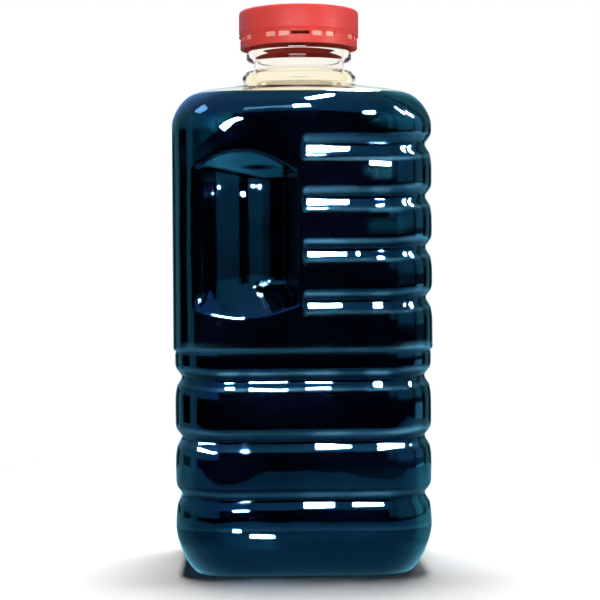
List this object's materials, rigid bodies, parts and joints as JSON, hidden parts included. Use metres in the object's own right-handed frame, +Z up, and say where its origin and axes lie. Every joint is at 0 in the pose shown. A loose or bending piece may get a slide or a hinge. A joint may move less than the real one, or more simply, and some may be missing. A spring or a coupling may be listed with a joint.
{
  "type": "pomegranate molasses bottle",
  "caption": "Square clear plastic bottle with ribbed walls and a pinch grip, filled with dark pomegranate molasses and shut with a red screw cap",
  "frame": {"origin": "centre of the underside, on the plane that the bottle stands on", "axes": "+Z runs up the bottle to its cap, +X points to the ribbed front face, away from the grip, and the two grip pockets open towards -Y and +Y"},
  "size_m": [0.1072, 0.1072, 0.237],
  "materials": {
    "clear_plastic": "clear, thin blown wall with a faint cream tint",
    "dark_molasses": "glossy, near black syrup",
    "red_cap": "smooth moulded, half gloss"
  },
  "bodies": {
    "root": {"bottle": "clear_plastic", "molasses": "dark_molasses", "cap": "red_cap"}
  },
  "joints": []
}
